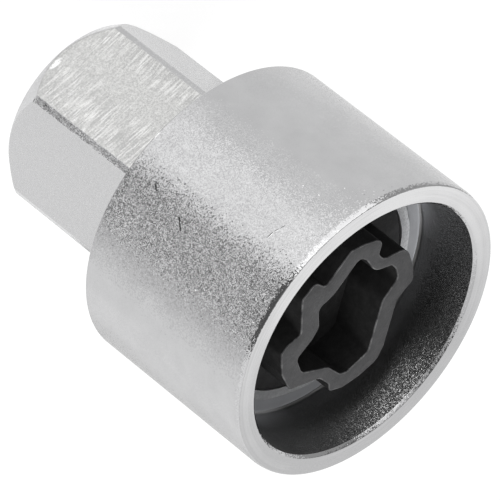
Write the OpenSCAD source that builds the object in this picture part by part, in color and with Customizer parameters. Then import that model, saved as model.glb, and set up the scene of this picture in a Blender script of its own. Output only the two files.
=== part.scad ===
// Key socket for a locking wheel nut: a plated steel cup with a milled hex drive,
// and a black keyed insert set into the cup's floor.
// Stands on the hex end. Z runs along the axis, towards the open end of the cup.

/* [Hex drive] */
// Across flats, the wrench size
hex_af = 19; // [17:0.5:21]
// Diameter of the turned lands between the flats
land_d = 21.5; // [20:0.1:23]
// Length from the end face to the cup
hex_len = 18.8; // [12:0.1:30]
// Diameter of the flat end face
end_face_d = 18.8; // [15:0.1:19.5]
// Length of the turned bevel behind the end face
end_bevel_len = 2; // [0.5:0.1:4]

/* [Cup] */
// Outside diameter
cup_d = 31.8; // [29:0.1:38]
// Length of the cup, from its back shoulder to its rim
cup_len = 21.5; // [19:0.1:30]
// Diameter of the bore that goes over the nut
bore_d = 27.4; // [26:0.1:28]
// Depth of the bore
bore_depth = 7.4; // [5:0.1:9]
// Bevel at the mouth of the bore
mouth_bevel = 0.3; // [0.1:0.05:0.7]
// Width of the bevel around the rim's outer edge
rim_bevel_w = 0.2; // [0.1:0.05:0.5]
// Length of the bevel around the rim's outer edge
rim_bevel_len = 0.5; // [0.1:0.05:1]
// Bevel around the back shoulder
shoulder_bevel = 0.4; // [0.1:0.05:1]
// Bevel in the corner between the bore and its floor
floor_corner = 0.25; // [0.1:0.05:0.5]

/* [Staked lip] */
// Outside diameter of the lip that is pressed over the insert's edge
lip_d = 24.4; // [24:0.1:25.5]
// Height of the lip above the bore's floor
lip_height = 0.25; // [0.1:0.05:0.6]
// Width of the slope on the lip's two sides
lip_slope = 0.2; // [0.05:0.05:0.3]

/* [Insert base] */
// Diameter of the round base
base_d = 22.6; // [20:0.1:23]
// Thickness of the round base
base_t = 3; // [2:0.1:4]
// Bevel at the base's top edge, under the lip
base_bevel = 0.35; // [0.1:0.05:0.6]
// Across flats of the hex foot that takes the torque
foot_af = 14; // [10:0.5:16]
// Length of the hex foot
foot_len = 5; // [3:0.1:6]
// Clearance around the pressed-in insert
fit_gap = 0.02; // [0.01:0.01:0.05]
// Free depth under the hex foot
foot_relief = 0.5; // [0.2:0.1:1]

/* [Key pattern] */
// Diameter of the circle that the lobes reach
tip_d = 17.3; // [16.5:0.1:18.5]
// Height of the wavy wall above the base
key_height = 5.1; // [3:0.1:5.5]
// Depth of the hollow inside the wavy wall
key_hollow = 4.7; // [2.5:0.1:5]
// Turn of the pattern from the hex drive
key_turn = 19; // [0:1:60]

/* [Hidden] */
$fn = 96;
total_len = hex_len + cup_len;
floor_z = total_len - bore_depth;
seat_z = floor_z - base_t;
foot_z = seat_z - foot_len;
lip_mouth_d = base_d - 2 * base_bevel;
// Cuts run this far past the faces that they open, and joined solids this far into each other
overrun = 1;
// Largest turn between neighbouring points of a rounded corner
arc_step = 10;

// Corners of the wavy wall: angle, depth below the circle of the lobes, corner radius
outer_corners = [
    [356, 0.05, 0.6], [9.5, 0, 0.5],
    [38.5, 2.25, 0.5], [44.5, 0.75, 0.8],
    [50, 0.05, 0.5], [67.5, 0, 1.5], [83, 0, 0.8], [87, 0.05, 0.7],
    [111, 2.05, 1.6], [126, 1.2, 1],
    [128.5, 0.25, 0.5], [140.5, 0, 0.8], [155, 0.05, 3], [170, 0, 1.5], [179.5, 0.75, 1.2],
    [222, 2.45, 0.8], [234, 0.6, 0.9], [249, 0.45, 1.5], [262.5, 0.35, 1.5], [270, 0.5, 0.8],
    [285.5, 2.15, 1], [295, 1.7, 0.6],
    [296.5, 0.35, 0.8], [303, 0, 0.8], [314, 0, 2], [325.5, 0, 0.4],
    [352.5, 1.8, 0.5]
];
// Corners of the hollow inside the wavy wall, given in the same way
inner_corners = [
    [350.5, 3.8, 2], [11.5, 3.2, 0.8],
    [36.5, 4.6, 1.2], [52, 3.95, 1.2], [64.5, 2, 0.6], [84, 1.9, 1.2],
    [116.5, 3.3, 1.8], [136, 2, 0.8], [144, 1.75, 0.7], [167.5, 2.15, 0.8],
    [229.5, 4.5, 1.5], [247.5, 2.45, 0.8], [260.5, 2.3, 1], [269.5, 2.35, 0.6],
    [289, 3.55, 1.8], [307.5, 2.15, 1], [316.5, 1.55, 0.7]
];

// Place of a corner on the plane
function corner_point(c) = (tip_d / 2 - c[1]) * [cos(c[0]), sin(c[0])];

// Points of the arc that rounds the corner b between its neighbours a and c
function corner_arc(a, b, c, radius) =
    let (
        u = (a - b) / norm(a - b),
        v = (c - b) / norm(c - b),
        half = acos(u * v) / 2,
        middle = b + (u + v) / norm(u + v) * radius / sin(half),
        start = b + u * radius / tan(half) - middle,
        side = sign(cross(-u, v)),
        sweep = side * (180 - 2 * half),
        steps = ceil(abs(sweep) / arc_step)
    )
    [for (i = [0 : steps])
        let (t = sweep * i / steps)
        middle + [start.x * cos(t) - start.y * sin(t), start.x * sin(t) + start.y * cos(t)]];

// Closed outline through a list of rounded corners
function rounded_outline(corners) =
    let (p = [for (c = corners) corner_point(c)], n = len(p))
    [for (i = [0 : n - 1])
        each corner_arc(p[(i + n - 1) % n], p[i], p[(i + 1) % n], corners[i][2])];

// Hexagonal prism with its flats facing 0, 60, 120 degrees and so on
module hex_prism(across_flats, height) {
    rotate(30)
        cylinder(d = across_flats / cos(30), h = height, $fn = 6);
}

// Turned outside of the drive, before the flats are milled
module drive_blank() {
    rotate_extrude()
        polygon([
            [0, 0],
            [end_face_d / 2, 0],
            [land_d / 2, end_bevel_len],
            [land_d / 2, hex_len + overrun],
            [0, hex_len + overrun]
        ]);
}

// Turned cup, with the bore, the seat for the insert and the lip pressed over it
module cup() {
    rotate_extrude()
        polygon([
            [0, hex_len],
            [cup_d / 2 - shoulder_bevel, hex_len],
            [cup_d / 2, hex_len + shoulder_bevel],
            [cup_d / 2, total_len - rim_bevel_len],
            [cup_d / 2 - rim_bevel_w, total_len],
            [bore_d / 2 + mouth_bevel, total_len],
            [bore_d / 2, total_len - mouth_bevel],
            [bore_d / 2, floor_z + floor_corner],
            [bore_d / 2 - floor_corner, floor_z],
            [lip_d / 2, floor_z],
            [lip_d / 2 - lip_slope, floor_z + lip_height],
            [lip_mouth_d / 2 + fit_gap + lip_slope, floor_z + lip_height],
            [lip_mouth_d / 2 + fit_gap, floor_z],
            [base_d / 2 + fit_gap, floor_z - base_bevel],
            [base_d / 2 + fit_gap, seat_z],
            [0, seat_z]
        ]);
}

// Hexagonal socket for the insert's foot, under the seat
module foot_socket() {
    translate([0, 0, foot_z - foot_relief])
        hex_prism(foot_af + 2 * fit_gap, foot_len + foot_relief + overrun);
}

module socket_body() {
    color("silver")
    difference() {
        union() {
            intersection() {
                drive_blank();
                hex_prism(hex_af, hex_len + overrun);
            }
            cup();
        }
        foot_socket();
    }
}

// Round base with its bevelled top edge
module insert_base() {
    rotate_extrude()
        polygon([
            [0, seat_z],
            [base_d / 2, seat_z],
            [base_d / 2, floor_z - base_bevel],
            [base_d / 2 - base_bevel, floor_z],
            [0, floor_z]
        ]);
}

// Wavy wall that enters the groove of the nut
module key_wall() {
    rotate(key_turn)
    translate([0, 0, floor_z])
    difference() {
        translate([0, 0, -overrun])
            linear_extrude(key_height + overrun)
                polygon(rounded_outline(outer_corners));
        translate([0, 0, key_height - key_hollow])
            linear_extrude(key_hollow + overrun)
                polygon(rounded_outline(inner_corners));
    }
}

module key_insert() {
    color([0.16, 0.16, 0.17]) {
        union() {
            insert_base();
            translate([0, 0, foot_z])
                hex_prism(foot_af, foot_len + overrun);
            key_wall();
        }
    }
}

socket_body();
key_insert();
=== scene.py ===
"""Looks for the key socket of a locking wheel nut: a plated steel cup with a milled hex drive,
and a black insert whose wavy wall enters the groove of the nut."""

import math

import bmesh
import bpy
from mathutils import Matrix, Vector, noise


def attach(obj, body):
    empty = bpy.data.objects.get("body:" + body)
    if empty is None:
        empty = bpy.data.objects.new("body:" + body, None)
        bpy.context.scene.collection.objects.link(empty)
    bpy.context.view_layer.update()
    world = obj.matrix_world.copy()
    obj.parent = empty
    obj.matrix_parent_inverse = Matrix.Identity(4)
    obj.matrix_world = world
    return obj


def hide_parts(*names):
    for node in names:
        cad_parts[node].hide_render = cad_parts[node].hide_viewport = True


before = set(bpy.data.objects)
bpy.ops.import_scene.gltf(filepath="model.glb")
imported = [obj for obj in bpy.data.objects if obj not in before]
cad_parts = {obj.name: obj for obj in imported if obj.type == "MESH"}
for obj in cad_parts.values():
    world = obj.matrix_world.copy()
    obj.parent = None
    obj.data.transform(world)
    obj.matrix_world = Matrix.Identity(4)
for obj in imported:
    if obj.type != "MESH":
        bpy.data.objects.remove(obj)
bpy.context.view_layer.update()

MM = 0.001
X_AXIS = (1, 0, 0)
Y_AXIS = (0, 1, 0)
Z_AXIS = (0, 0, 1)

# Sizes in millimetres, as in the CAD source
HEX_AF = 19
LAND_D = 21.5
HEX_LEN = 18.8
END_FACE_D = 18.8
END_BEVEL_LEN = 2
CUP_D = 31.8
CUP_LEN = 21.5
BORE_D = 27.4
BORE_DEPTH = 7.4
MOUTH_BEVEL = 0.3
FLOOR_CORNER = 0.25
LIP_D = 24.4
LIP_HEIGHT = 0.25
LIP_SLOPE = 0.2
BASE_D = 22.6
BASE_T = 3
BASE_BEVEL = 0.35
FOOT_AF = 14
FOOT_LEN = 5
FIT_GAP = 0.02
FOOT_RELIEF = 0.5
TIP_D = 17.3
KEY_HEIGHT = 5.1
KEY_HOLLOW = 4.7
KEY_TURN = 19
# The corner between the bore and its floor is a fillet, which the source simplifies to a bevel
FLOOR_FILLET = 2 * FLOOR_CORNER
# The two outer bevels as the photograph shows them, where the source has 0.4, 0.2 and 0.5
SHOULDER_BEVEL = 0.15
RIM_BEVEL_W = 0.11
RIM_BEVEL_LEN = 0.55
# Slope at the lip's mouth, where the source has the same slope on both sides
LIP_MOUTH_SLOPE = 0.04
TOTAL_LEN = HEX_LEN + CUP_LEN
FLOOR_Z = TOTAL_LEN - BORE_DEPTH
SEAT_Z = FLOOR_Z - BASE_T
FOOT_Z = SEAT_Z - FOOT_LEN
LIP_MOUTH_D = BASE_D - 2 * BASE_BEVEL
OVERRUN = 1

# Corners of the wavy wall: angle in degrees, depth below the lobes' circle, corner radius
OUTER_CORNERS = [
    (356, 0.05, 0.6), (9.5, 0, 0.5), (38.5, 2.25, 0.5), (44.5, 0.75, 0.8),
    (50, 0.05, 0.5), (67.5, 0, 1.5), (83, 0, 0.8), (87, 0.05, 0.7),
    (111, 2.05, 1.6), (126, 1.2, 1), (128.5, 0.25, 0.5), (140.5, 0, 0.8),
    (155, 0.05, 3), (170, 0, 1.5), (179.5, 0.75, 1.2), (222, 2.45, 0.8),
    (234, 0.6, 0.9), (249, 0.45, 1.5), (262.5, 0.35, 1.5), (270, 0.5, 0.8),
    (285.5, 2.15, 1), (295, 1.7, 0.6), (296.5, 0.35, 0.8), (303, 0, 0.8),
    (314, 0, 2), (325.5, 0, 0.4), (352.5, 1.8, 0.5),
]
INNER_CORNERS = [
    (350.5, 3.8, 2), (11.5, 3.2, 0.8), (36.5, 4.6, 1.2), (52, 3.95, 1.2),
    (64.5, 2, 0.6), (84, 1.9, 1.2), (116.5, 3.3, 1.8), (136, 2, 0.8),
    (144, 1.75, 0.7), (167.5, 2.15, 0.8), (229.5, 4.5, 1.5), (247.5, 2.45, 0.8),
    (260.5, 2.3, 1), (269.5, 2.35, 0.6), (289, 3.55, 1.8), (307.5, 2.15, 1),
    (316.5, 1.55, 0.7),
]

# The photograph's camera: turn around the axis, tilt from the axis and roll, in degrees
CAMERA_TURN = 19
CAMERA_TILT = 57.816
CAMERA_ROLL = 38.209
# Place of the rim's centre, right of and below the picture's middle, and distance, in radii of the cup
RIM_RIGHT = 0.678928
RIM_DOWN = 0.474854
CAMERA_DISTANCE = 34.884167

# Sizes of the plating's grain and of its slow changes of tone
GRAIN = 0.1
CLOUD = 2.5
# Depths of the bumps in the plating and of the pits in the black oxide
PLATING_BUMP = 0.01
PIT_DEPTH = 0.03
# Bend of the cutter's strokes on the flats, per millimetre, and their fineness lengthwise against across
STROKE_ARC = 0.004
STROKE_STRETCH = 0.1

# Nicks and scratches, drawn only in colour, as painted shade (dark marks) and painted glints (bright marks):
# turn from the camera's side, height, length, width, lean from the axis
NICK_PAINTED_SHADE = [
    (5.6, 22.5, 0.95, 0.2, 46), (9.2, 26.6, 0.6, 0.18, 43), (10.9, 27.07, 1.2, 0.18, 43),
    (-5.3, 35.4, 0.9, 0.09, -83), (-7.8, 35.58, 0.6, 0.08, -65), (-10.0, 35.84, 0.7, 0.07, -70),
    (135.9, 40.0, 0.8, 0.3, 0),
]
NICK_PAINTED_GLINTS = [
    (-5.3, 35.5, 0.8, 0.08, -83), (-7.8, 35.68, 0.6, 0.06, -65), (-8.3, 18.98, 0.8, 0.2, -90),
    (18.8, 36.7, 0.3, 0.25, 0), (21.1, 39.1, 0.3, 0.2, 0), (25, 31.9, 0.2, 0.15, 0),
    (-25.5, 34, 0.2, 0.15, 0), (-26.3, 35.9, 0.35, 0.15, 20), (-34.4, 36.9, 0.2, 0.12, 0),
]
# Worn corner of the end bevel, whose glint is painted white, given in the same way
WORN_CORNER_GLINT = (-10, 0.75, 1.9, 0.75, 90)
# How deep a mark reaches, and the share of its size that is even
MARK_DEPTH = 0.5
MARK_CORE = 0.6

# Rounding of sharp edges, of the rim's front edge, of the end bevel's back edge, of the base's lower edge
# and of milled edges
EDGE_ROUND = 0.08
RIM_ROUND = 0.16
LAND_ROUND = 0.4
BASE_ROUND = 0.1
MILLED_ROUND = 0.05
# Width of the worn bevels along the edges of the key's face
KEY_WEAR = 0.12
# Height of the slow waves and the fine ones on the crest of the lip
LIP_WAVE = 0.12
LIP_RIPPLE = 0.06

# Fineness of the meshes: segments of a turn, and largest angle between the points of a rounded corner,
# for the key and for turned profiles
TURNED_SEGMENTS = 288
ARC_STEP = 8
PROFILE_STEP = 15
# A profile point closer to the axis than this lies on it
ON_AXIS = 1e-6

# Brightness of the floor where it is seen, its width in metres, and the largest turn in one step of a card
FLOOR_GLOW = 0.9
FLOOR_WIDTH = 4
CARD_STEP = 3
# Raised cards: distance from the rim's centre, elevation near the floor, steps each way
RAISED_DISTANCE = 130
RAISED_FOOT = -17
RAISED_STEPS = 12

# Material slots of the two pieces
TURNED, MILLED, BORE, FLOOR, LIP = range(5)
BLACK, FACE, EDGE, BASE = range(4)


# Flat shapes

def corner_arc(before, corner, after, radius, grow=0.0, step=ARC_STEP):
    """Points of the arc that rounds a corner, with the outline moved outwards by grow."""
    u = (before - corner).normalized()
    v = (after - corner).normalized()
    half = math.acos(max(-1.0, min(1.0, u.dot(v)))) / 2
    middle = corner + (u + v).normalized() * radius / math.sin(half)
    start = corner + u * radius / math.tan(half) - middle
    side = 1 if u.x * v.y - u.y * v.x < 0 else -1
    sweep = side * (math.pi - 2 * half)
    steps = max(1, math.ceil(abs(math.degrees(sweep)) / step))
    scale = (radius + side * grow) / radius
    points = []
    for i in range(steps + 1):
        turned = start.copy()
        turned.rotate(Matrix.Rotation(sweep * i / steps, 2))
        points.append(middle + turned * scale)
    return points


def rounded_outline(corners, grow=0.0):
    """Closed outline through rounded corners given as angle, depth and radius."""
    places = []
    for angle, depth, _ in corners:
        reach = TIP_D / 2 - depth
        a = math.radians(angle + KEY_TURN)
        places.append(Vector((reach * math.cos(a), reach * math.sin(a))))
    outline = []
    for i, (_, _, radius) in enumerate(corners):
        outline += corner_arc(places[i - 1], places[i], places[(i + 1) % len(places)], radius, grow)
    return outline


def rounded_profile(corners):
    """Open profile through corners given as radius, height and rounding."""
    points = [Vector(c[:2]) for c in corners]
    profile = [points[0]]
    for i in range(1, len(points) - 1):
        if corners[i][2] > 0:
            profile += corner_arc(*points[i - 1:i + 2], corners[i][2], step=PROFILE_STEP)
        else:
            profile.append(points[i])
    return profile + [points[-1]]


# Meshes

def add_object(name, mesh):
    obj = bpy.data.objects.new(name, mesh)
    bpy.context.scene.collection.objects.link(obj)
    return obj


def mesh_from_bmesh(name, bm):
    bmesh.ops.recalc_face_normals(bm, faces=bm.faces)
    mesh = bpy.data.meshes.new(name)
    bm.to_mesh(mesh)
    bm.free()
    return mesh


def turned_solid(name, profile, finish=None, shape=None, segments=TURNED_SEGMENTS):
    """Solid of revolution whose profile starts and ends on the axis.
    finish(middle) gives a band's material, and shape(point, angle) moves a profile point."""
    bm = bmesh.new()
    rings = []
    for point in profile:
        if point.x < ON_AXIS:
            rings.append([bm.verts.new((0, 0, point.y * MM))])
            continue
        ring = []
        for i in range(segments):
            a = 2 * math.pi * i / segments
            p = shape(point, a) if shape else point
            ring.append(bm.verts.new((p.x * math.cos(a) * MM, p.x * math.sin(a) * MM, p.y * MM)))
        rings.append(ring)
    for below, above, p, q in zip(rings, rings[1:], profile, profile[1:]):
        middle = (p + q) / 2
        for i in range(segments):
            j = (i + 1) % segments
            if len(below) == 1:
                corners = (below[0], above[j], above[i])
            elif len(above) == 1:
                corners = (below[i], below[j], above[0])
            else:
                corners = (below[i], below[j], above[j], above[i])
            face = bm.faces.new(corners)
            face.material_index = finish(middle) if finish else 0
    return add_object(name, mesh_from_bmesh(name, bm))


def hex_prism(name, across_flats, bottom, top, material_index=0):
    """Prism whose flats face 0, 60, 120 degrees and so on."""
    bm = bmesh.new()
    reach = across_flats / 2 / math.cos(math.radians(30)) * MM
    ends = []
    for z in (bottom, top):
        angles = [math.radians(30 + 60 * i) for i in range(6)]
        ends.append([bm.verts.new((reach * math.cos(a), reach * math.sin(a), z * MM)) for a in angles])
    bm.faces.new(ends[0])
    bm.faces.new(ends[1])
    for i in range(6):
        j = (i + 1) % 6
        bm.faces.new((ends[0][i], ends[0][j], ends[1][j], ends[1][i]))
    for face in bm.faces:
        face.material_index = material_index
    return add_object(name, mesh_from_bmesh(name, bm))


def cut(target, tool, operation):
    """Applies a boolean to the target and removes the tool."""
    step = target.modifiers.new(operation, "BOOLEAN")
    step.operation = operation
    step.solver = "EXACT"
    step.object = tool
    apply_modifiers(target)
    bpy.data.objects.remove(tool)


def apply_modifiers(obj):
    shaped = obj.evaluated_get(bpy.context.evaluated_depsgraph_get())
    mesh = bpy.data.meshes.new_from_object(shaped)
    obj.modifiers.clear()
    obj.data = mesh


def smooth(obj, sharp_angle):
    obj.data.shade_smooth()
    obj.data.set_sharp_from_angle(angle=math.radians(sharp_angle))


def give_materials(obj, materials):
    for material in materials:
        obj.data.materials.append(material)


# Materials

class Nodes:
    """Short names for building one node tree. A value is a number, a vector, a colour or an output."""

    def __init__(self, tree):
        self.tree = tree

    def add(self, kind, **settings):
        node = self.tree.nodes.new(kind)
        for key, value in settings.items():
            setattr(node, key, value)
        return node

    def give(self, value, socket):
        """Links an output to the socket, or sets the socket to a number, a vector or a colour."""
        if isinstance(value, bpy.types.NodeSocket):
            self.tree.links.new(value, socket)
        elif socket.type == "RGBA":
            socket.default_value = (*value, 1)
        else:
            socket.default_value = value

    def wired(self, kind, *values, **settings):
        """Node whose first inputs take the values, in their order."""
        node = self.add(kind, **settings)
        for value, socket in zip(values, node.inputs):
            self.give(value, socket)
        return node

    def math(self, operation, a, b):
        return self.wired("ShaderNodeMath", a, b, operation=operation).outputs["Value"]

    def product(self, first, *others):
        for other in others:
            first = self.math("MULTIPLY", first, other)
        return first

    def vector_math(self, operation, *values):
        """Node of an operation on vectors. Its result is its Vector or its Value."""
        return self.wired("ShaderNodeVectorMath", *values, operation=operation)

    def between(self, value, low, high, to_low=0.0, to_high=1.0):
        """Maps the value from one range to another, clamped."""
        return self.wired("ShaderNodeMapRange", value, low, high, to_low, to_high).outputs["Result"]

    def mix(self, factor, low_color, high_color):
        node = self.wired("ShaderNodeMix", factor, data_type="RGBA")
        low, high = [socket for socket in node.inputs if socket.type == "RGBA"]
        self.give(low_color, low)
        self.give(high_color, high)
        return next(socket for socket in node.outputs if socket.type == "RGBA")

    def seen_directly(self):
        """1 for camera, glossy and transmission rays, so that the metal shows the white background too."""
        path = self.add("ShaderNodeLightPath")
        total = path.outputs["Is Camera Ray"]
        for name in ("Is Glossy Ray", "Is Transmission Ray"):
            total = self.math("MAXIMUM", total, path.outputs[name])
        return total


class Finish(Nodes):
    """Node material around one Principled shader."""

    def __init__(self, name, **shader_values):
        self.material = bpy.data.materials.new(name)
        self.material.use_nodes = True
        super().__init__(self.material.node_tree)
        self.shader = self.tree.nodes["Principled BSDF"]
        for socket, value in shader_values.items():
            self.shade(socket.replace("_", " "), value)
        self.place = self.add("ShaderNodeTexCoord").outputs["Object"]

    def shade(self, socket, value):
        """Gives a value to one of the shader's own sockets."""
        self.give(value, self.shader.inputs[socket])

    def paint(self, color):
        """Makes this the base colour, over which tints may be mixed."""
        self.color = color
        self.shade("Base Color", color)

    def tint(self, factor, color):
        """Mixes a colour into the base colour made so far."""
        self.paint(self.mix(factor, self.color, color))

    def parts(self):
        return self.wired("ShaderNodeSeparateXYZ", self.place).outputs

    def joined(self, x, y, z):
        return self.wired("ShaderNodeCombineXYZ", x, y, z).outputs["Vector"]

    def noise(self, size_mm, detail=2.0, roughness=0.5, vector=None):
        """Noise whose blobs are about size_mm across."""
        node = self.wired("ShaderNodeTexNoise", vector or self.place)
        node.inputs["Scale"].default_value = 1 / (size_mm * MM)
        node.inputs["Detail"].default_value = detail
        node.inputs["Roughness"].default_value = roughness
        return node.outputs["Fac"]

    def clouds(self):
        """Slow change from 0 to 1."""
        return self.between(self.noise(CLOUD), 0.3, 0.7)

    def along(self, way, low_mm, high_mm, to_low=0.0, to_high=1.0):
        """Maps the place along a direction, from one range to another, clamped."""
        reach = self.vector_math("DOT_PRODUCT", self.place, way).outputs["Value"]
        return self.between(reach, low_mm * MM, high_mm * MM, to_low, to_high)

    def from_axis(self):
        """Distance from the axis, in metres."""
        level = self.vector_math("MULTIPLY", self.place, (1, 1, 0)).outputs["Vector"]
        return self.vector_math("LENGTH", level).outputs["Value"]

    def radial(self, low_mm, high_mm, to_low=0.0, to_high=1.0):
        """Maps the distance from the axis, from one range to another, clamped."""
        return self.between(self.from_axis(), low_mm * MM, high_mm * MM, to_low, to_high)

    def mark(self, turn, height, length, width, lean, reach=CUP_D / 2):
        """1 inside a thin ellipsoid at a distance from the axis, fading to 0 at its edge."""
        node = self.add("ShaderNodeMapping", vector_type="TEXTURE")
        node.inputs["Location"].default_value = (reach * direction(turn) + Vector((0, 0, height))) * MM
        node.inputs["Rotation"].default_value = (-math.radians(lean), 0, math.radians(CAMERA_TURN + turn))
        node.inputs["Scale"].default_value = Vector((MARK_DEPTH, width / 2, length / 2)) * MM
        self.give(self.place, node.inputs["Vector"])
        from_middle = self.vector_math("LENGTH", node.outputs["Vector"]).outputs["Value"]
        return self.between(from_middle, MARK_CORE, 1, 1, 0)

    def marks(self, places):
        total = 0
        for place in places:
            total = self.math("MAXIMUM", total, self.mark(*place))
        return total

    def bump(self, height, depth_mm):
        node = self.add("ShaderNodeBump")
        node.inputs["Distance"].default_value = depth_mm * MM
        self.give(height, node.inputs["Height"])
        return node.outputs["Normal"]

    def facets(self, size_mm, tilt, normal):
        """Tilts the normal by a random amount in each small crystal."""
        cells = self.wired("ShaderNodeTexVoronoi", self.place)
        cells.inputs["Scale"].default_value = 1 / (size_mm * MM)
        random = self.vector_math("MULTIPLY_ADD", cells.outputs["Color"], (2, 2, 2), (-1, -1, -1))
        tilted = self.vector_math("SCALE", random.outputs["Vector"])
        self.give(tilt, tilted.inputs["Scale"])
        total = self.vector_math("ADD", tilted.outputs["Vector"], normal)
        return self.vector_math("NORMALIZE", total.outputs["Vector"]).outputs["Vector"]


def direction(turn, elevation=0):
    """Direction at a turn from the camera's side and at an elevation."""
    a = math.radians(CAMERA_TURN + turn)
    e = math.radians(elevation)
    return Vector((math.cos(a) * math.cos(e), math.sin(a) * math.cos(e), math.sin(e)))


def grey(level):
    return (level, level, level)


def plate(n, tilt, roughness, grain=GRAIN):
    """Zinc plating: fine crystal facets that sparkle, on a slightly uneven surface."""
    uneven = n.noise(0.6)
    n.shade("Roughness", n.between(uneven, 0.25, 0.75, roughness - 0.03, roughness + 0.03))
    n.shade("Normal", n.facets(grain, tilt, n.bump(uneven, PLATING_BUMP)))


def turned_steel():
    """Outside of the body, with nicks and scratches whose shade and glints are painted. The rim's face has
    faint rings and painted light that makes it lighter towards one side, and painted shade darkens the
    shoulder's edge on one side.
    """
    n = Finish("plated_steel", Metallic=1.0)
    plate(n, tilt=0.1, roughness=0.11)
    n.paint(n.mix(n.clouds(), (0.55, 0.55, 0.556), (0.59, 0.59, 0.596)))
    rim_face = n.along(Z_AXIS, TOTAL_LEN - 0.1, TOTAL_LEN - 0.03)
    # Painted light: the rim's face gets lighter towards one side, and the brightness below adds it to the
    # rings and to random blotches
    side = n.along(direction(-40), -CUP_D / 4, CUP_D / 2)
    blotches = n.between(n.noise(5, detail=1.0), 0.3, 0.7, -0.12, 0.12)
    _, y, _ = n.parts()
    ring_noise = n.noise(0.3, detail=1.0, vector=n.joined(n.from_axis(), n.product(y, 0.05), 0))
    rings = n.between(ring_noise, 0.3, 0.7, -0.15, 0.15)
    brightness = n.math("ADD", n.math("ADD", side, rings), blotches)
    n.tint(rim_face, n.mix(brightness, (0.485, 0.485, 0.49), (0.74, 0.74, 0.745)))
    # Painted shade: a dark line along the shoulder's edge on one side, standing in for a dark reflection
    # there
    shoulder = n.along(Z_AXIS, HEX_LEN + SHOULDER_BEVEL + 0.05, HEX_LEN + EDGE_ROUND)
    shoulder_painted_shade = n.along(direction(15), 11, 14)
    n.tint(n.product(shoulder, shoulder_painted_shade), grey(0.2))
    # Painted shade and painted glints of the nicks and scratches
    n.tint(n.marks(NICK_PAINTED_SHADE), grey(0.06))
    n.tint(n.marks(NICK_PAINTED_GLINTS), grey(0.95))
    return n.material


def milled_steel():
    """Flats of the drive. The cutter's strokes show along the edges of the flat on the +X side,
    as slight arcs across it, and hardly on the other flats."""
    n = Finish("milled_plated_steel", Metallic=1.0)
    x, y, z = n.parts()
    from_edge = n.math("SUBTRACT", y, HEX_AF / 4 * MM)
    arc = n.product(from_edge, from_edge, STROKE_ARC / MM)
    strokes = n.noise(0.22, vector=n.joined(x, n.product(y, STROKE_STRETCH), n.math("ADD", z, arc)))
    near_flat = n.along(X_AXIS, HEX_AF / 2 - 0.5, HEX_AF / 2 - 0.1)
    near_edges = n.math("MAXIMUM", n.along(Y_AXIS, -1.5, -4, 0.25), n.along(Y_AXIS, -1, 2, 0.25))
    patches = n.between(n.noise(1.5, detail=1.0), 0.35, 0.6, 0.4, 1)
    show = n.product(patches, near_edges, near_flat)
    grain = n.between(n.noise(0.16, detail=1.0), 0.3, 0.7)
    n.paint(n.mix(grain, (0.46, 0.46, 0.455), (0.66, 0.66, 0.65)))
    n.tint(n.product(show, n.between(strokes, 0.5, 0.65, 0, 0.6)), (0.93, 0.93, 0.92))
    n.tint(n.product(show, n.between(strokes, 0.48, 0.36, 0, 0.55)), grey(0.4))
    plain = n.mix(n.between(strokes, 0.35, 0.65), (0.54, 0.54, 0.545), (0.565, 0.565, 0.57))
    n.tint(n.between(near_flat, 0, 1, 0.96, 0), plain)
    # These two are equal on the end bevel, so their difference grows away from the flat's end
    by_height = n.along(Z_AXIS, 0, 3 * END_BEVEL_LEN)
    by_radius = n.radial(END_FACE_D / 2, END_FACE_D / 2 + 1.5 * (LAND_D - END_FACE_D))
    outline = n.between(n.math("SUBTRACT", by_height, by_radius), 0.01, 0.035, 0.5, 0)
    n.tint(n.product(outline, near_flat), grey(0.33))
    # Worn corner of the end bevel with a painted glint, white in patches
    worn_glint = n.product(n.mark(*WORN_CORNER_GLINT, HEX_AF / 2), n.between(n.noise(0.35), 0.35, 0.5))
    n.tint(worn_glint, grey(1))
    n.shade("Roughness", n.between(strokes, 0.3, 0.7, 0.32, 0.24))
    n.shade("Normal", n.facets(GRAIN, 0.02, n.bump(strokes, PLATING_BUMP)))
    return n.material


def bore_steel():
    """Plated wall of the bore, which sparkles towards its mouth. Painted shade darkens it deeper down, so
    that it is lighter towards its mouth, and a painted reflection of the floor lightens it next to the
    floor, except on the far side."""
    n = Finish("bore_steel", Metallic=1.0)
    sparkle = n.along(Z_AXIS, FLOOR_Z + 2, FLOOR_Z + 6.5, 0.05, 0.26)
    plate(n, sparkle, roughness=0.36, grain=0.075)
    # Painted shade: the wall darkens away from its mouth, deeper in the bore
    painted_light_towards_mouth = n.along(Z_AXIS, FLOOR_Z + 2, FLOOR_Z + 5.5)
    n.paint(n.mix(painted_light_towards_mouth, grey(0.145), grey(0.31)))
    # Painted reflection of the pale floor on the wall next to the floor, except on the far side
    painted_reflection_near_floor = n.along(Z_AXIS, FLOOR_Z + 2.6, FLOOR_Z + 0.4)
    not_far = n.along(direction(180), 9, 5)
    n.tint(n.product(painted_reflection_near_floor, not_far), (0.52, 0.52, 0.53))
    return n.material


def floor_steel():
    """Floor of the bore, dull and pale."""
    n = Finish("floor_steel", Metallic=0.2)
    plate(n, tilt=0.04, roughness=0.45)
    n.paint(n.mix(n.clouds(), (0.50, 0.51, 0.535), (0.55, 0.56, 0.585)))
    return n.material


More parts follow.
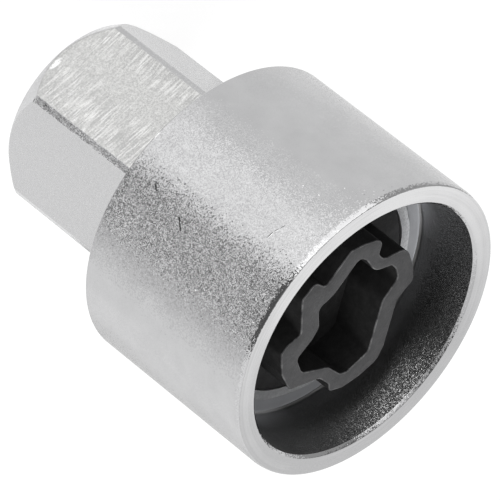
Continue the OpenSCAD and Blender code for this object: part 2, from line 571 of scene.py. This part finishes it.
def lip_steel():
    """Crest of the pressed lip, uneven and speckled. Painted shade darkens it towards its mouth, next to the
    insert, and on one side.
    """
    n = Finish("lip_steel", Metallic=0.2)
    plate(n, tilt=0.12, roughness=0.4)
    n.paint(n.mix(n.clouds(), (0.9, 0.91, 0.94), (0.97, 0.98, 1.0)))
    # Painted shade towards the lip's mouth, next to the insert
    n.tint(n.radial(LIP_MOUTH_D / 2, LIP_D / 2 - LIP_SLOPE, 0.6, 0), (0.35, 0.355, 0.365))
    n.tint(n.between(n.noise(0.2, detail=1.0), 0.45, 0.7, 0, 0.5), (0.45, 0.455, 0.47))
    # Painted shade on one side of the lip, broken up by blotches
    lip_painted_shade_side = n.along(direction(105), 7, 11)
    blotches = n.between(n.noise(0.5), 0.3, 0.6, 0.3, 0.7)
    n.tint(n.product(lip_painted_shade_side, blotches), (0.45, 0.46, 0.465))
    return n.material


def black_steel(name, low_color, high_color, roughness, gloss):
    """Matt black oxide, slightly pitted and worn in places."""
    n = Finish(name, Metallic=0.0, Specular_IOR_Level=gloss)
    pits = n.noise(0.25, roughness=0.6)
    wear = n.between(n.noise(0.9, detail=3.0, roughness=0.6), 0.4, 0.7)
    n.paint(n.mix(wear, low_color, high_color))
    n.shade("Roughness", n.between(pits, 0.3, 0.7, roughness - 0.07, roughness + 0.07))
    n.shade("Normal", n.bump(pits, PIT_DEPTH))
    return n.material


# Socket body

def cup_finish(middle):
    """Material of a band of the cup, by the middle of its profile."""
    inside = middle.x < BORE_D / 2 + EDGE_ROUND and middle.y < TOTAL_LEN - MOUTH_BEVEL
    if not inside or middle.y < SEAT_Z - OVERRUN / 2:
        return TURNED
    lip_crest = FLOOR_Z + 0.6 * LIP_HEIGHT
    if middle.y > lip_crest and middle.x < LIP_D / 2:
        return LIP
    fillet_start = FLOOR_Z + 0.14 * FLOOR_FILLET
    if middle.y < fillet_start:
        return FLOOR
    return BORE


def pressed_lip(point, angle):
    """Makes the crest of the lip uneven, as the pressing leaves it."""
    if point.y < FLOOR_Z + LIP_HEIGHT / 2 or point.x > LIP_D / 2 or point.x < LIP_MOUTH_D / 2:
        return point
    wave = noise.noise(Vector((4 * math.cos(angle), 4 * math.sin(angle), point.x / 2)))
    fine = noise.noise(Vector((15 * math.cos(angle), 15 * math.sin(angle), point.x)))
    return Vector((point.x, point.y + LIP_WAVE * wave + LIP_RIPPLE * fine))


def lip_profile():
    """Crest of the lip, from its outside to its mouth, as radius, height and rounding."""
    inner = LIP_MOUTH_D / 2 + FIT_GAP
    top = FLOOR_Z + LIP_HEIGHT
    return [
        (LIP_D / 2, FLOOR_Z, 0.05),
        (LIP_D / 2 - LIP_SLOPE, top, EDGE_ROUND),
        (LIP_D / 2 - 2 * LIP_SLOPE, top, 0),
        (inner + 1.5 * LIP_SLOPE, top, 0),
        (inner + LIP_MOUTH_SLOPE, top, 0.03),
        (inner, FLOOR_Z, 0),
    ]


def make_body(materials):
    cup_r = CUP_D / 2
    bore_r = BORE_D / 2
    seat_r = BASE_D / 2 + FIT_GAP
    cup = turned_solid("socket_body_looks", rounded_profile([
        (0, HEX_LEN, 0),
        (cup_r - SHOULDER_BEVEL, HEX_LEN, EDGE_ROUND),
        (cup_r, HEX_LEN + SHOULDER_BEVEL, EDGE_ROUND),
        (cup_r, TOTAL_LEN - RIM_BEVEL_LEN, EDGE_ROUND),
        (cup_r - RIM_BEVEL_W, TOTAL_LEN, RIM_ROUND),
        (bore_r + MOUTH_BEVEL, TOTAL_LEN, EDGE_ROUND),
        (bore_r, TOTAL_LEN - MOUTH_BEVEL, EDGE_ROUND),
        (bore_r, FLOOR_Z, FLOOR_FILLET),
        *lip_profile(),
        (seat_r, FLOOR_Z - BASE_BEVEL, 0),
        (seat_r, SEAT_Z, 0),
        (0, SEAT_Z, 0),
    ]), finish=cup_finish, shape=pressed_lip)
    shank = turned_solid("shank", rounded_profile([
        (0, 0, 0),
        (END_FACE_D / 2, 0, EDGE_ROUND),
        (LAND_D / 2, END_BEVEL_LEN, LAND_ROUND),
        (LAND_D / 2, HEX_LEN + OVERRUN, 0),
        (0, HEX_LEN + OVERRUN, 0),
    ]))
    for obj in (cup, shank):
        give_materials(obj, materials)
    flats = hex_prism("flats", HEX_AF, -OVERRUN, HEX_LEN + 2 * OVERRUN, MILLED)
    give_materials(flats, materials)
    cut(shank, flats, "INTERSECT")
    cut(cup, shank, "UNION")
    socket = hex_prism("foot_socket", FOOT_AF + 2 * FIT_GAP, FOOT_Z - FOOT_RELIEF, SEAT_Z + OVERRUN / 2)
    give_materials(socket, materials)
    cut(cup, socket, "DIFFERENCE")
    edge = cup.modifiers.new("edges", "BEVEL")
    edge.width = MILLED_ROUND * MM
    edge.segments = 2
    edge.limit_method = "ANGLE"
    edge.angle_limit = math.radians(24)
    apply_modifiers(cup)
    smooth(cup, sharp_angle=40)
    return cup


# Key insert

def outline_ring(bm, outline, z):
    return [bm.verts.new((p.x * MM, p.y * MM, z * MM)) for p in outline]


def join_rings(bm, lower, upper, material_index):
    for i in range(len(lower)):
        j = (i + 1) % len(lower)
        face = bm.faces.new((lower[i], lower[j], upper[j], upper[i]))
        face.material_index = material_index


def ring_edges(bm, ring):
    edges = []
    for i in range(len(ring)):
        pair = (ring[i], ring[(i + 1) % len(ring)])
        edges.append(bm.edges.get(pair) or bm.edges.new(pair))
    return edges


def wall_rings(bm, corners, foot, side):
    """Outlines of one side of the wall, from its foot up to the worn bevel along its face."""
    top = FLOOR_Z + KEY_HEIGHT
    bevel = [(top - KEY_WEAR, 0), (top - KEY_WEAR / 4, KEY_WEAR / 3), (top, KEY_WEAR)]
    return [outline_ring(bm, rounded_outline(corners, side * inset), z) for z, inset in [(foot, 0), *bevel]]


def make_key_wall():
    """Wavy wall with small worn bevels along the edges of its face."""
    bm = bmesh.new()
    outer = wall_rings(bm, OUTER_CORNERS, FLOOR_Z - OVERRUN, -1)
    inner = wall_rings(bm, INNER_CORNERS, FLOOR_Z + KEY_HEIGHT - KEY_HOLLOW, 1)
    for rings in (outer, inner):
        for i, (lower, upper) in enumerate(zip(rings, rings[1:])):
            join_rings(bm, lower, upper, EDGE if i else BLACK)
    edges = ring_edges(bm, outer[-1]) + ring_edges(bm, inner[-1])
    for item in bmesh.ops.triangle_fill(bm, use_beauty=True, edges=edges)["geom"]:
        if isinstance(item, bmesh.types.BMFace):
            item.material_index = FACE
    bm.faces.new(inner[0])
    bm.faces.new(outer[0])
    return add_object("key_insert_looks", mesh_from_bmesh("key_insert_looks", bm))


def make_insert(materials):
    wall = make_key_wall()
    base = turned_solid("insert_base", rounded_profile([
        (0, SEAT_Z, 0),
        (BASE_D / 2, SEAT_Z, BASE_ROUND),
        (BASE_D / 2, FLOOR_Z - BASE_BEVEL, EDGE_ROUND),
        (BASE_D / 2 - BASE_BEVEL, FLOOR_Z, EDGE_ROUND),
        (0, FLOOR_Z, 0),
    ]), finish=lambda middle: BASE, segments=TURNED_SEGMENTS // 2)
    foot = hex_prism("insert_foot", FOOT_AF, FOOT_Z, SEAT_Z + OVERRUN)
    for obj in (wall, base, foot):
        give_materials(obj, materials)
    cut(base, foot, "UNION")
    cut(wall, base, "UNION")
    smooth(wall, sharp_angle=35)
    return wall


# Studio

def camera_from_photo():
    """Camera of the photograph. The axis of the part runs to the lower right in the picture."""
    turn = math.radians(CAMERA_TURN)
    tilt = math.radians(CAMERA_TILT)
    roll = math.radians(CAMERA_ROLL)
    outwards = Vector((math.sin(tilt) * math.cos(turn), math.sin(tilt) * math.sin(turn), math.cos(tilt)))
    level = Vector((-math.sin(turn), math.cos(turn), 0))
    axis = outwards.cross(level)
    right = math.cos(roll) * axis - math.sin(roll) * level
    down = math.sin(roll) * axis + math.cos(roll) * level
    rim = Vector((0, 0, TOTAL_LEN * MM))
    place = rim - CUP_D / 2 * MM * (RIM_RIGHT * right + RIM_DOWN * down - CAMERA_DISTANCE * outwards)
    data = bpy.data.cameras.new("camera")
    data.lens = 432
    data.sensor_width = 36
    data.clip_end = 20
    camera = bpy.data.objects.new("camera", data)
    columns = Matrix((right, -down, outwards)).transposed()
    camera.matrix_world = Matrix.Translation(place) @ columns.to_4x4()
    bpy.context.scene.collection.objects.link(camera)
    bpy.context.scene.camera = camera


def white_world(strong_turn, weak, strong):
    """White where it is seen. Its soft light grows from weak to strong towards one side and upwards."""
    world = bpy.data.worlds.new("studio")
    bpy.context.scene.world = world
    world.use_nodes = True
    n = Nodes(world.node_tree)
    background = n.tree.nodes["Background"]
    n.give((1, 1, 1), background.inputs["Color"])
    way = n.add("ShaderNodeTexCoord").outputs["Generated"]
    strong_way = (direction(strong_turn) + Vector((0, 0, 0.5))).normalized()
    side = n.vector_math("DOT_PRODUCT", way, strong_way).outputs["Value"]
    soft = n.between(side, -1, 1, weak, strong)
    n.give(n.between(n.seen_directly(), 0, 1, soft, 1), background.inputs["Strength"])


def floor_material():
    """Pale floor that takes the shadow, and glows where it is seen, so that it reads as white."""
    n = Finish("floor", Base_Color=grey(0.25), Roughness=0.9, Specular_IOR_Level=0.0, Emission_Color=grey(1))
    n.shade("Emission Strength", n.math("MULTIPLY", n.seen_directly(), FLOOR_GLOW))
    return n.material


def make_floor():
    bm = bmesh.new()
    bmesh.ops.create_grid(bm, x_segments=1, y_segments=1, size=FLOOR_WIDTH / 2)
    obj = add_object("floor", mesh_from_bmesh("floor", bm))
    give_materials(obj, [floor_material()])


def area_lamp(name, turn, elevation, distance, size, power):
    """Soft round lamp that faces the part. Its distance and size are in metres."""
    away = direction(turn, elevation)
    data = bpy.data.lights.new(name, "AREA")
    data.shape = "DISK"
    data.size = size
    data.energy = power
    lamp = bpy.data.objects.new(name, data)
    lamp.location = Vector((0, 0, TOTAL_LEN / 2 * MM)) + away * distance
    lamp.rotation_euler = (-away).to_track_quat("-Z", "Y").to_euler()
    lamp.visible_camera = False
    bpy.context.scene.collection.objects.link(lamp)
    return lamp


def glowing_piece(name, bm, level):
    """Card that shows only in reflections. A level below 1 is grey or black, and one above 1 a panel."""
    material = bpy.data.materials.new(name)
    material.use_nodes = True
    n = Nodes(material.node_tree)
    glow = n.add("ShaderNodeEmission")
    glow.inputs["Strength"].default_value = level
    n.give(glow.outputs["Emission"], n.tree.nodes["Material Output"].inputs["Surface"])
    piece = add_object(name, mesh_from_bmesh(name, bm))
    give_materials(piece, [material])
    for ray in ("camera", "diffuse", "shadow", "transmission", "volume_scatter"):
        setattr(piece, "visible_" + ray, False)


def card(name, edges, level, radius, near, far, height):
    """Card on the floor. Each edge starts at a turn on the part's outside and runs out in a direction."""
    bm = bmesh.new()
    rings = []
    for distance in (near, far):
        places = [radius * direction(turn) + distance * direction(way) for turn, way in edges]
        rings.append([bm.verts.new((p.x * MM, p.y * MM, height * MM)) for p in places])
    for i in range(len(edges) - 1):
        bm.faces.new((rings[0][i], rings[1][i], rings[1][i + 1], rings[0][i + 1]))
    glowing_piece(name, bm, level)


def turned_card(name, start, end, level, *reach):
    """Card that shows between two turns of a turned face, which mirrors at twice the turn."""
    steps = max(1, math.ceil((end - start) / CARD_STEP))
    turns = [start + (end - start) * i / steps for i in range(steps + 1)]
    card(name, [(turn, 2 * turn) for turn in turns], level, *reach)


def striped_card(name, start, width, pairs, first, second, share, *reach):
    """Row of cards with two levels in turn. The first has the given share of a pair's width."""
    for i in range(pairs):
        left = start + width * i
        middle = left + width * share
        turned_card(f"{name}_{2 * i}", left, middle, first, *reach)
        turned_card(f"{name}_{2 * i + 1}", middle, left + width, second, *reach)


def raised_card(name, start, end, low, high, level):
    """Curved card around the rim's centre, between two turns and two elevations."""
    bm = bmesh.new()
    rim = Vector((0, 0, TOTAL_LEN))
    rows = []
    for i in range(RAISED_STEPS + 1):
        elevation = low + (high - low) * i / RAISED_STEPS
        row = []
        for j in range(RAISED_STEPS + 1):
            turn = start + (end - start) * j / RAISED_STEPS
            row.append(bm.verts.new((rim + RAISED_DISTANCE * direction(turn, elevation)) * MM))
        rows.append(row)
    for lower, upper in zip(rows, rows[1:]):
        for j in range(RAISED_STEPS):
            bm.faces.new((lower[j], lower[j + 1], upper[j + 1], upper[j]))
    glowing_piece(name, bm, level)


# Cards on the floor, by the turns of the cup where they show: start, end, level
CUP_CARDS = [
    (-95, -68, 0.87), (-68, -28.4, 0.88), (27.7, 33, 0.66), (33, 41, 0.86), (41, 68, 1.01), (68, 76, 0.86),
    (76, 95, 0.76),
]
# Striped cards: start, width of a pair of stripes, pairs, first and second level, share of the first
CUP_STRIPES = [
    (-28.4, 2.8, 3, 1.1, 0.75, 0.5), (-20, 3.5, 6, 1.38, 0.85, 0.55), (3.2, 3.5, 7, 0.2, 1.25, 0.6),
]
# Where the cup's cards lie: radius that they start from, near and far end beyond it, height
CUP_REACH = (CUP_D / 2, 12, 175, 0.4)
# The same for the lands of the drive
DRIVE_CARDS = [(-54, -44.5, 0.82)]
DRIVE_STRIPES = [(7, 1.6, 5, 0.0, 1.1, 0.5)]
DRIVE_REACH = (LAND_D / 2, 1.5, 28, 0.5)
# The bright flat: turns of its long edges, twice the turn of its middle, level
FLAT_PANEL = ([(-50, -38), (12, -38)], 1.12)
FLAT_REACH = (LAND_D / 2, 0.3, 26, 0.6)
# Raised cards, which show in the bevels: start, end, lower and upper elevation, level
RAISED_CARDS = [
    (-67, -5, RAISED_FOOT, 42, 1.5), (-80, -24, 42, 62, 1.15), (0, 52, RAISED_FOOT, 42, 0.12),
    (-22, 60, 42, 52, 0.25), (-22, 60, 52, 62, 0.6),
    (-140, -70, RAISED_FOOT, 42, 0.42), (-140, -82, 42, 62, 0.2), (-150, -86, 62, 88, 0.08),
    (-86, -5, 62, 88, 0.55), (-5, 70, 62, 88, 0.1), (62, 140, 35, 60, 0.78),
]


def studio():
    white_world(strong_turn=80, weak=0.05, strong=0.45)
    make_floor()
    area_lamp("key_light", turn=6, elevation=60, distance=1.5, size=1.4, power=2.6)
    side = area_lamp("side_light", turn=100, elevation=42, distance=0.8, size=0.5, power=3.5)
    side.visible_glossy = False
    sparkle = area_lamp("sparkle_light", turn=-18, elevation=8, distance=0.6, size=0.2, power=2.3)
    sparkle.visible_diffuse = False
    for name, cards, stripes, reach in (
        ("cup", CUP_CARDS, CUP_STRIPES, CUP_REACH), ("drive", DRIVE_CARDS, DRIVE_STRIPES, DRIVE_REACH),
    ):
        for i, values in enumerate(cards):
            turned_card(f"{name}_card_{i}", *values, *reach)
        for i, values in enumerate(stripes):
            striped_card(f"{name}_stripe_{i}", *values, *reach)
    card("flat_panel", *FLAT_PANEL, *FLAT_REACH)
    for i, values in enumerate(RAISED_CARDS):
        raised_card(f"raised_card_{i}", *values)


# The model

body = make_body([turned_steel(), milled_steel(), bore_steel(), floor_steel(), lip_steel()])
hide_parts("socket_body")
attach(body, "root")

insert = make_insert([
    # Copies of one black oxide: the walls' copy is darker, painted shade, the face's and the base's copies
    # are lighter, painted light, and the edges' copy is worn and also carries a painted highlight
    black_steel("black_steel", (0.024, 0.024, 0.024), (0.034, 0.034, 0.034), 0.5, 0.05),
    black_steel("black_steel_face_painted_light", (0.038, 0.038, 0.04), (0.056, 0.056, 0.058), 0.5, 0.5),
    black_steel("worn_black_steel_painted_highlight", (0.04, 0.04, 0.042), (0.2, 0.2, 0.203), 0.4, 0.6),
    black_steel("black_steel_base_painted_light", (0.038, 0.038, 0.039), (0.052, 0.052, 0.053), 0.5, 0.25),
])
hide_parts("key_insert")
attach(insert, "root")

camera_from_photo()
studio()

bpy.context.scene.view_settings.view_transform = "Standard"
